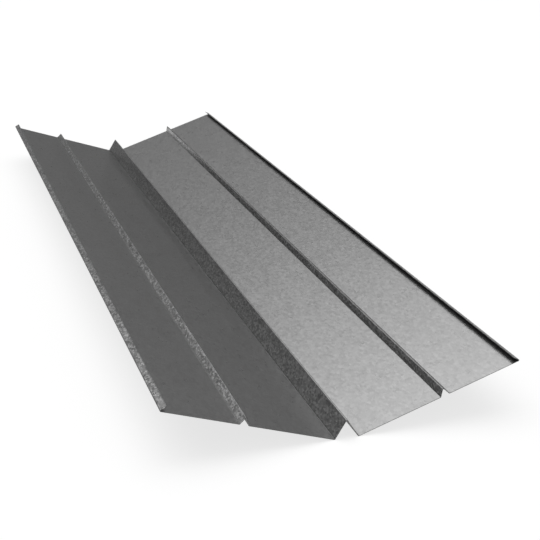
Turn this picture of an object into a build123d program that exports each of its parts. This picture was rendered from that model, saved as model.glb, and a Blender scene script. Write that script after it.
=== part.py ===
from build123d import *
import os

# W-valley flashing: one strip of galvanised steel sheet, folded along its whole length.
# Across the width, from the middle outwards, the strip makes a tall centre rib, two
# valley folds that the piece stands on, two sloping wings with a small rib each, and an
# open hem along each outer edge. Sizes are in millimetres and angles in degrees.
# X runs across the width, Y along the length, Z up. The origin is at the middle of the
# length and of the width, on the level that the two valley folds rest on.

# Driving dimensions of the sheet
sheet_length = 1650.0
sheet_thickness = 0.7
inside_bend_radius = 0.8

# Driving dimensions of the section, along the underside of the sheet, between sharp corners
wing_slope = 18.4
centre_rib_height = 27.0
centre_rib_half_width = 16.8
inner_pan_width = 125.8
side_rib_width = 12.6
side_rib_height = 11.5
outer_pan_width = 111.6
hem_width = 12.7
hem_opening = 45.0

# A bend is rounder on its outside by the thickness of the sheet. The underside is the
# inside of a crest and the outside of a trough.
crest_radius = inside_bend_radius
trough_radius = inside_bend_radius + sheet_thickness

# Distances up the wing, from the valley fold
side_rib_foot = inner_pan_width
side_rib_far_foot = side_rib_foot + side_rib_width
wing_width = side_rib_far_foot + outer_pan_width


def on_wing(distance, rise=0.0):
    """Point of the section, so far up the right wing and so far out from its underside."""
    valley_fold = Vector(centre_rib_half_width, 0)
    return valley_fold + Vector(distance, rise).rotate(Axis.Z, wing_slope)


def half_section():
    """Corners of the right half of the underside, and the radius of the bend at each."""
    hem_lip = Vector(-hem_width, 0).rotate(Axis.Z, -hem_opening)
    bends = [
        (on_wing(0.0), trough_radius),
        (on_wing(side_rib_foot), trough_radius),
        (on_wing(side_rib_foot + side_rib_width / 2, side_rib_height), crest_radius),
        (on_wing(side_rib_far_foot), trough_radius),
        (on_wing(wing_width), trough_radius),
    ]
    hem_edge = on_wing(wing_width + hem_lip.X, hem_lip.Y)
    return bends, hem_edge


def whole_section():
    """Corners of the whole underside from the left hem to the right one, and the bend radii."""
    right_bends, right_edge = half_section()
    left_bends = [(Vector(-corner.X, corner.Y), radius) for corner, radius in right_bends]
    left_edge = Vector(-right_edge.X, right_edge.Y)
    crest = (Vector(0, centre_rib_height), crest_radius)
    bends = [*reversed(left_bends), crest, *right_bends]
    corners = [left_edge, *(corner for corner, _ in bends), right_edge]
    return corners, [radius for _, radius in bends]


corners, radii = whole_section()

with BuildLine() as underside:
    FilletPolyline(*corners, radius=radii)

# The valley folds are rounded, so the section comes down until they touch the floor.
fold_clearance = underside.line.bounding_box().min.Y
section_plane = Plane(origin=(0, 0, -fold_clearance), x_dir=(1, 0, 0), z_dir=(0, -1, 0))

with BuildPart() as valley_sheet:
    with BuildSketch(section_plane):
        with BuildLine():
            add(underside.line)
            offset(amount=sheet_thickness, side=Side.LEFT)
        make_face()
    extrude(amount=sheet_length / 2, both=True)

valley_sheet.part.label = "valley_sheet"

os.makedirs("parts", exist_ok=True)
export_step(valley_sheet.part, "parts/valley_sheet.step")
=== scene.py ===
import math

import bpy
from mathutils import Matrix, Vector


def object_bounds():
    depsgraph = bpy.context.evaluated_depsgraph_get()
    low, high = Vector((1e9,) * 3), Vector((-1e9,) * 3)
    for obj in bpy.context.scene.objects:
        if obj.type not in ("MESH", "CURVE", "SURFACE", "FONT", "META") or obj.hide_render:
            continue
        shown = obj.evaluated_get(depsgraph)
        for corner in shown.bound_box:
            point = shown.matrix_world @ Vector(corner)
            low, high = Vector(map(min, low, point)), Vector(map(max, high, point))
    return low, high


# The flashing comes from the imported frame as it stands: one strip of galvanised steel
# sheet, folded along its whole length and lying on its two valley folds. Lengths in this
# script are in metres and turns in degrees.
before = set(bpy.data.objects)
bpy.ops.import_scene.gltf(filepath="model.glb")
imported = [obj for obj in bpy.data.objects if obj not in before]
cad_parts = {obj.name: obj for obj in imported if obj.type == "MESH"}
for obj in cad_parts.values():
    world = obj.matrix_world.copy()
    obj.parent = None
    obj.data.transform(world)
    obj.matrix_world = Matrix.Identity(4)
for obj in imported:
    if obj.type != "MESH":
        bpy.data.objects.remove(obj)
cad_low, cad_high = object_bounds()
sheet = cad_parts["valley_sheet"]


# Zinc spangle. Hot-dipped zinc freezes into flat crystals a few millimetres across. Each
# one has its own tone and its own slight lean, so it catches the light a little
# differently, and it is ragged at its edge and feathered inside by finer growth.
def shader_group(name, inputs, outputs):
    """Empty node group with these sockets; inputs carry the value each starts with."""
    group = bpy.data.node_groups.new(name, "ShaderNodeTree")
    for label, start in inputs.items():
        kind = "NodeSocketVector" if isinstance(start, tuple) else "NodeSocketFloat"
        socket = group.interface.new_socket(label, in_out="INPUT", socket_type=kind)
        socket.default_value = start
    for label, kind in outputs.items():
        group.interface.new_socket(label, in_out="OUTPUT", socket_type=kind)
    return group


class Nodes:
    """Places nodes in a tree and joins them, so that a material reads from left to right."""

    def __init__(self, tree):
        self.tree = tree

    def feed(self, socket, value):
        if isinstance(value, bpy.types.NodeSocket):
            self.tree.links.new(value, socket)
        else:
            socket.default_value = value

    def add(self, kind, settings=(), **inputs):
        node = self.tree.nodes.new(kind)
        for name, value in dict(settings).items():
            setattr(node, name, value)
        for name, value in inputs.items():
            self.feed(node.inputs[name.replace("_", " ")], value)
        return node

    def place(self, group, **inputs):
        return self.add("ShaderNodeGroup", {"node_tree": group}, **inputs).outputs

    def math(self, operation, *values):
        node = self.add("ShaderNodeMath", {"operation": operation})
        for socket, value in zip(node.inputs, values):
            self.feed(socket, value)
        return node.outputs["Value"]

    def vector(self, operation, *values, result="Vector"):
        node = self.add("ShaderNodeVectorMath", {"operation": operation})
        for socket, value in zip(node.inputs, values):
            self.feed(socket, value)
        return node.outputs[result]

    def scaled(self, vector, factor):
        node = self.add("ShaderNodeVectorMath", {"operation": "SCALE"}, Vector=vector, Scale=factor)
        return node.outputs["Vector"]

    def raised(self, value, mask, amount):
        """Value with the amount added to it where the mask is 1."""
        return self.math("ADD", value, self.math("MULTIPLY", mask, amount))

    def varied(self, value, mask, share):
        """Value that is greater by that share of itself where the mask is 1."""
        return self.math("MULTIPLY", value, self.raised(1.0, mask, share))

    def noise(self, place, scale, detail=2.0):
        """Noise from -0.5 to 0.5, as one value and as a vector."""
        made = self.add("ShaderNodeTexNoise", Vector=place, Scale=scale, Detail=detail).outputs
        value = self.math("SUBTRACT", made["Fac"], 0.5)
        return value, self.vector("SUBTRACT", made["Color"], (0.5, 0.5, 0.5))

    def ramp(self, value, low, high, low_to=0.0, high_to=1.0):
        """Value carried smoothly from the span low..high to the span low_to..high_to."""
        node = self.add("ShaderNodeMapRange", {"interpolation_type": "SMOOTHSTEP"}, Value=value)
        spans = {"From Min": low, "From Max": high, "To Min": low_to, "To Max": high_to}
        for name, amount in spans.items():
            self.feed(node.inputs[name], amount)
        return node.outputs["Result"]


# In the group, one crystal is one unit wide.
drift_scale = 1.1
ragged_scale = 5.0
ragged_reach = 0.3
feather_rows = 22.0
wobble_scale = 3.0
feather_wobble = 9.0
feather_strength = 0.2
grain_scale = 6.0
feather_lean = 0.6
boundary = (0.3, 0.9)
spangle = shader_group(
    "zinc_spangle",
    {"Place": (0.0, 0.0, 0.0), "Crystal Size": 0.005, "Lean": 0.05, "Feather": 0.5},
    {
        "Tone": "NodeSocketFloat",
        "Shine": "NodeSocketFloat",
        "Relief": "NodeSocketFloat",
        "Normal": "NodeSocketVector",
    },
)
n = Nodes(spangle)
given = n.add("NodeGroupInput").outputs
grown = n.scaled(given["Place"], n.math("DIVIDE", 1.0, given["Crystal Size"]))
_, drift = n.noise(grown, drift_scale)
_, ragged = n.noise(grown, ragged_scale)
outline = n.vector("ADD", n.vector("ADD", grown, drift), n.scaled(ragged, ragged_reach))
cell = n.add("ShaderNodeTexVoronoi", {"feature": "F1"}, Vector=outline, Scale=1.0).outputs
lean = n.vector("SUBTRACT", cell["Color"], (0.5, 0.5, 0.5))
growth = n.vector("NORMALIZE", lean)
along = n.vector("DOT_PRODUCT", grown, growth, result="Value")
wobble, _ = n.noise(grown, wobble_scale)
rows = n.math("ADD", n.math("MULTIPLY", along, feather_rows), n.math("MULTIPLY", wobble, feather_wobble))
feather = n.math("MULTIPLY", n.math("SINE", rows), feather_strength)
grain, _ = n.noise(grown, grain_scale, 3.0)
detail = n.math("MULTIPLY", n.math("ADD", feather, grain), given["Feather"])
parts = n.add("ShaderNodeSeparateColor", Color=cell["Color"]).outputs
leaning = n.vector("ADD", lean, n.scaled(growth, n.math("MULTIPLY", detail, feather_lean)))
tilt = n.scaled(leaning, given["Lean"])
facing = n.add("ShaderNodeNewGeometry").outputs["Normal"]
out = n.add("NodeGroupOutput").inputs
n.feed(out["Tone"], n.math("ADD", n.math("SUBTRACT", parts["Red"], 0.5), detail))
n.feed(out["Shine"], n.math("SUBTRACT", 0.5, parts["Green"]))
n.feed(out["Relief"], n.math("SUBTRACT", detail, n.ramp(cell["Distance"], *boundary)))
n.feed(out["Normal"], n.vector("NORMALIZE", n.vector("ADD", facing, tilt)))

# Specks: small dark flecks, where dross froze into the zinc or dust stuck to it. They lie
# scattered over the whole sheet and have ragged outlines.
speck_bend_scale = 3.0
speck_bend = 0.5
specks = shader_group(
    "dark_specks",
    {"Place": (0.0, 0.0, 0.0), "Spacing": 0.012, "Reach": 0.25, "Share": 0.3},
    {"Mask": "NodeSocketFloat"},
)
n = Nodes(specks)
given = n.add("NodeGroupInput").outputs
spread = n.scaled(given["Place"], n.math("DIVIDE", 1.0, given["Spacing"]))
_, bent = n.noise(spread, speck_bend_scale)
patch = n.vector("ADD", spread, n.scaled(bent, speck_bend))
cell = n.add("ShaderNodeTexVoronoi", {"feature": "F1"}, Vector=patch, Scale=1.0).outputs
chosen = n.add("ShaderNodeSeparateColor", Color=cell["Color"]).outputs["Blue"]
kept = n.math("LESS_THAN", chosen, given["Share"])
spot = n.ramp(cell["Distance"], given["Reach"], 0.0)
n.add("NodeGroupOutput", Mask=n.math("MULTIPLY", spot, kept))

# Bands: the part of the sheet between two distances off the middle line, the same on both
# sides. Folding works the sheet only along such bands, and its two cut ends are bands of
# the same kind, measured lengthwise.
band = shader_group(
    "band",
    {"Distance": 0.0, "From": 0.0, "To": 0.1, "Soft": 0.001},
    {"Mask": "NodeSocketFloat"},
)
n = Nodes(band)
given = n.add("NodeGroupInput").outputs
begun = n.math("DIVIDE", n.math("SUBTRACT", given["Distance"], given["From"]), given["Soft"])
ended = n.math("DIVIDE", n.math("SUBTRACT", given["To"], given["Distance"]), given["Soft"])
n.add("NodeGroupOutput", Mask=n.math("MINIMUM", n.ramp(begun, -1.0, 1.0), n.ramp(ended, -1.0, 1.0)))

# The sheet itself, dull galvanised steel as it leaves the folding machine. The spangle is
# faint on the flat pans and stands out on the ribs and hems, where folding worked the zinc,
# and painted light makes the ribs and hems lighter. Painted shade darkens the folds, the
# pockets under the hems and the underside, which are also rougher, and bare steel shows where the sheet
# was cut.
zinc_grey = (0.34, 0.34, 0.34, 1.0)
glancing_grey = (0.56, 0.56, 0.56, 1.0)
zinc_roughness = 0.3
relief_depth = 0.000004

# How strongly the spangle shows, and how much painted light makes the worked zinc lighter
pan_contrast = 0.16
centre_rib_contrast = 0.82
side_rib_contrast = 1.15
hem_contrast = 1.1
crest_calming = 0.75
centre_rib_painted_light = 0.0
side_rib_painted_light = 0.23
hem_painted_light = 0.02
pan_crystal = 0.0036
worked_crystal = 0.0025
crystal_draw = (1.0, 0.6, 1.0)
crystal_lean = 0.022
crystal_feather = 0.55
shine_roughness = 0.04

# Where the worked zinc is: so high over the plane of the wing, and so far off the middle.
# A zone that runs past the edge of the sheet, or over its middle, goes a metre off it.
off_sheet = 1.0
wing_slope = math.radians(18.4)
valley_fold_place = 0.0168
worked_height = 0.0013
worked_softness = 0.0004
centre_rib_reach = 0.05
hem_start = 0.2
crossing_softness = 0.01
centre_crest_reach = 0.0016
side_crest_span = (0.1379, 0.1396)
crest_softness = 0.0004

# Folds by their span off the middle line, with how much painted shade darkens each one (they
# are also rougher), and then the painted shade in the pockets under the hems, each span with its
# softness
shaded_folds = {
    "valley fold": (0.0160, 0.0184, 0.4),
    "inner foot of the side rib": (0.1352, 0.1366, 0.2),
    "crest of the side rib": (0.1380, 0.1400, 0.45),
    "outer foot of the side rib": (0.1475, 0.1489, 0.3),
    "bend of the hem": (0.2504, 0.2600, 0.18),
}
fold_softness = 0.0005
hem_pocket_span = (0.2445, 0.2600, 0.0018)
hem_pocket_rise = (0.0004, 0.0014, 0.0002)
hem_pocket_shade = 0.6
# How much painted shade darkens the underside, and how soft its edge is
underside_edge = 0.02
underside_shade = 0.58
dull_roughness = 0.2

# Bare steel: the last of the sheet at its two sheared ends, and at the top, where the slit
# edges of the hems are
sheared_from = cad_high[1] - 0.0002
slit_from = cad_high[2] - 0.0005
cut_softness = 0.0001
bare_steel_tone = 0.6
bare_roughness = 0.15

# Marks on the zinc, each with its size and its strength
fleck_spacing = 0.014
fleck_reach = 0.26
fleck_share = 0.16
fleck_tone = -0.08
fleck_roughness = 0.01
stroke_draw = (1.0, 0.4, 1.0)
stroke_scale = 150.0
stroke_width = (0.04, 0.005)
stroke_choice_shift = (3.0, 0.0, 0.0)
stroke_choice_scale = 100.0
stroke_choice = (-0.02, 0.08)
stroke_tone = -0.05
stroke_roughness = -0.012
streak_stretch = (220.0, 2.5, 220.0)
streak_tone = 0.02
cloud_scale = 14.0
cloud_tone = 0.05

galvanised = bpy.data.materials.new("galvanised_steel")
galvanised.use_nodes = True
galvanised.node_tree.nodes.clear()
n = Nodes(galvanised.node_tree)
coordinates = n.add("ShaderNodeTexCoord").outputs
place = coordinates["Object"]
axis = n.add("ShaderNodeSeparateXYZ", Vector=place).outputs
across = n.math("ABSOLUTE", axis["X"])
lengthwise = n.math("ABSOLUTE", axis["Y"])
up = n.math("MULTIPLY", axis["Z"], math.cos(wing_slope))
outward = n.math("SUBTRACT", across, valley_fold_place)
rise = n.math("SUBTRACT", up, n.math("MULTIPLY", outward, math.sin(wing_slope)))


def zone(distance, start, end, soft):
    """Mask of the sheet between two distances, with edges that are soft by that much."""
    return n.place(band, Distance=distance, From=start, To=end, Soft=soft)["Mask"]


# Spangle: strong where the zinc is worked, and calmer again on the crests. Painted light gives the
# worked zinc a lighter tone.
worked = zone(rise, worked_height, off_sheet, worked_softness)
central = zone(across, -off_sheet, centre_rib_reach, crossing_softness)
hemmed = zone(across, hem_start, off_sheet, crossing_softness)
side_crest = zone(across, *side_crest_span, crest_softness)
centre_crest = zone(across, -off_sheet, centre_crest_reach, crest_softness)
crest = n.math("MAXIMUM", side_crest, centre_crest)
worked_contrast = n.raised(side_rib_contrast, central, centre_rib_contrast - side_rib_contrast)
worked_contrast = n.raised(worked_contrast, hemmed, hem_contrast - side_rib_contrast)
worked_contrast = n.varied(worked_contrast, crest, -crest_calming)
contrast = n.raised(pan_contrast, worked, n.math("SUBTRACT", worked_contrast, pan_contrast))
# Painted light: a lighter tone on the worked zinc of the ribs and hems
worked_painted_light = n.raised(side_rib_painted_light, central, centre_rib_painted_light - side_rib_painted_light)
worked_painted_light = n.raised(worked_painted_light, hemmed, hem_painted_light - side_rib_painted_light)
worked_painted_light = n.math("MULTIPLY", worked_painted_light, worked)
zinc = n.place(
    spangle,
    Place=n.vector("MULTIPLY", place, crystal_draw),
    Crystal_Size=n.raised(pan_crystal, worked, worked_crystal - pan_crystal),
    Lean=crystal_lean,
    Feather=crystal_feather,
)
tone = n.math("EXPONENT", n.math("ADD", n.math("MULTIPLY", zinc["Tone"], contrast), worked_painted_light))

# Flecks, faint wandering strokes, streaks left by the rolls and a soft cloudiness
fleck = n.place(specks, Place=place, Spacing=fleck_spacing, Reach=fleck_reach, Share=fleck_share)["Mask"]
run = n.vector("MULTIPLY", place, stroke_draw)
contour, _ = n.noise(run, stroke_scale)
choice, _ = n.noise(n.vector("ADD", run, stroke_choice_shift), stroke_choice_scale, 1.0)
line = n.ramp(n.math("ABSOLUTE", contour), *stroke_width)
stroke = n.math("MULTIPLY", line, n.ramp(choice, *stroke_choice))
streak, _ = n.noise(n.vector("MULTIPLY", place, streak_stretch), 1.0, 3.0)
cloud, _ = n.noise(place, cloud_scale, 3.0)
tone = n.varied(tone, fleck, fleck_tone)
tone = n.varied(tone, stroke, stroke_tone)
tone = n.varied(tone, streak, streak_tone)
tone = n.varied(tone, cloud, cloud_tone)

# Painted shade, with more roughness, on the folds, in the pockets under the hems and on the underside
shade_and_dullness = 0.0
for start, end, amount in shaded_folds.values():
    fold = zone(across, start, end, fold_softness)
    shade_and_dullness = n.math("MAXIMUM", shade_and_dullness, n.math("MULTIPLY", fold, amount))
# Painted shade in the pockets under the hems, where the lips shade the wing
pocket = n.math("MULTIPLY", zone(across, *hem_pocket_span), zone(rise, *hem_pocket_rise))
shade_and_dullness = n.math("MAXIMUM", shade_and_dullness, n.math("MULTIPLY", pocket, hem_pocket_shade))
# Painted shade on the underside, which faces the floor
facing_up = n.add("ShaderNodeSeparateXYZ", Vector=coordinates["Normal"]).outputs["Z"]
underside = n.ramp(facing_up, underside_edge, -underside_edge)
shade_and_dullness = n.math("MAXIMUM", shade_and_dullness, n.math("MULTIPLY", underside, underside_shade))
# The painted shade darkens the tone here
tone = n.varied(tone, shade_and_dullness, -1.0)

# Bare steel
sheared = zone(lengthwise, sheared_from, off_sheet, cut_softness)
slit = zone(axis["Z"], slit_from, off_sheet, cut_softness)
bare = n.math("MAXIMUM", sheared, slit)
tone = n.varied(tone, bare, bare_steel_tone - 1.0)

# The mix node has sockets of one name for each kind of value, so they go by identifier.
grey = n.add("ShaderNodeMix", {"data_type": "RGBA", "blend_type": "MULTIPLY"})
mix_in = {socket.identifier: socket for socket in grey.inputs}
mix_out = {socket.identifier: socket for socket in grey.outputs}
mix_in["Factor_Float"].default_value = 1.0
mix_in["A_Color"].default_value = zinc_grey
n.feed(mix_in["B_Color"], tone)
roughness = n.raised(zinc_roughness, zinc["Shine"], shine_roughness)
roughness = n.raised(roughness, fleck, fleck_roughness)
roughness = n.raised(roughness, stroke, stroke_roughness)
roughness = n.raised(roughness, shade_and_dullness, dull_roughness)
roughness = n.raised(roughness, bare, bare_roughness)
relief = n.add(
    "ShaderNodeBump",
    Height=zinc["Relief"],
    Normal=zinc["Normal"],
    Strength=1.0,
    Distance=relief_depth,
)
metal = n.add("ShaderNodeBsdfPrincipled")
metal.inputs["Metallic"].default_value = 1.0
metal.inputs["Specular Tint"].default_value = glancing_grey
n.feed(metal.inputs["Base Color"], mix_out["Result_Color"])
n.feed(metal.inputs["Roughness"], roughness)
n.feed(metal.inputs["Normal"], relief.outputs["Normal"])
n.add("ShaderNodeOutputMaterial", Surface=metal.outputs["BSDF"])
sheet.data.materials.clear()
sheet.data.materials.append(galvanised)

# Floor: a wide white board that the flashing lies on. It glows where it is seen, also by
# reflection, so that it stays white, and it still takes a soft shadow.
floor_half_width = 30.0
board_grey = (0.26, 0.26, 0.26, 1.0)
board_glow = 0.74
corners = [(-1, -1), (1, -1), (1, 1), (-1, 1)]
floor_mesh = bpy.data.meshes.new("floor")
floor_mesh.from_pydata(
    [(x * floor_half_width, y * floor_half_width, 0.0) for x, y in corners], [], [(0, 1, 2, 3)]
)
floor = bpy.data.objects.new("floor", floor_mesh)
bpy.context.scene.collection.objects.link(floor)
board = bpy.data.materials.new("white_board")
board.use_nodes = True
board.node_tree.nodes.clear()
n = Nodes(board.node_tree)
path = n.add("ShaderNodeLightPath").outputs
seen = n.math("MAXIMUM", path["Is Camera Ray"], path["Is Glossy Ray"])
seen = n.math("MAXIMUM", seen, path["Is Transmission Ray"])
paint = n.add("ShaderNodeBsdfPrincipled", Roughness=1.0)
paint.inputs["Base Color"].default_value = board_grey
paint.inputs["Specular IOR Level"].default_value = 0.0
paint.inputs["Emission Color"].default_value = (1.0, 1.0, 1.0, 1.0)
n.feed(paint.inputs["Emission Strength"], n.math("MULTIPLY", seen, board_glow))
n.add("ShaderNodeOutputMaterial", Surface=paint.outputs["BSDF"])
floor_mesh.materials.append(board)

# Light: a dim white room that darkens towards the horizon, and one wide soft lamp high
# over the far end of the flashing. Walls and ceiling are given by height, from the horizon
# at 0 to straight up at 1, and the lamp by how nearly a direction points to its middle.
wall_tone, wall_foot, wall_top = 0.44, -0.01, 0.2
ceiling_tone, ceiling_edge, ceiling_middle = 0.25, 0.3, 0.9
lamp_tone, lamp_edge, lamp_core = 2.12, 0.72, 0.88
lamp_axis = Vector((-0.08, 0.35, 0.93)).normalized()
world = bpy.data.worlds.new("studio")
world.use_nodes = True
world.node_tree.nodes.clear()
bpy.context.scene.world = world
n = Nodes(world.node_tree)
direction = n.add("ShaderNodeTexCoord").outputs["Generated"]
height = n.add("ShaderNodeSeparateXYZ", Vector=direction).outputs["Z"]
towards_lamp = n.vector("DOT_PRODUCT", direction, tuple(lamp_axis), result="Value")
walls = n.ramp(height, wall_foot, wall_top, 0.0, wall_tone)
ceiling = n.ramp(height, ceiling_edge, ceiling_middle, 0.0, ceiling_tone)
lamp = n.ramp(towards_lamp, lamp_edge, lamp_core, 0.0, lamp_tone)
light = n.math("ADD", n.math("ADD", walls, ceiling), lamp)
sky = n.add("ShaderNodeBackground", Strength=light)
n.add("ShaderNodeOutputWorld", Surface=sky.outputs["Background"])

# Camera: off the near end and to the left of the flashing, looking along it and down on it
# at about 20 degrees.
camera_place = (-0.5186, -2.1089, 0.7402)
camera_turn = 17.764
camera_tilt = 19.974
camera_lens = 77.58
lens = bpy.data.cameras.new("camera")
lens.lens = camera_lens
camera = bpy.data.objects.new("camera", lens)
camera.location = camera_place
camera.rotation_euler = (math.radians(90 - camera_tilt), 0.0, math.radians(-camera_turn))
bpy.context.scene.collection.objects.link(camera)
bpy.context.scene.camera = camera
bpy.context.scene.view_settings.view_transform = "Standard"
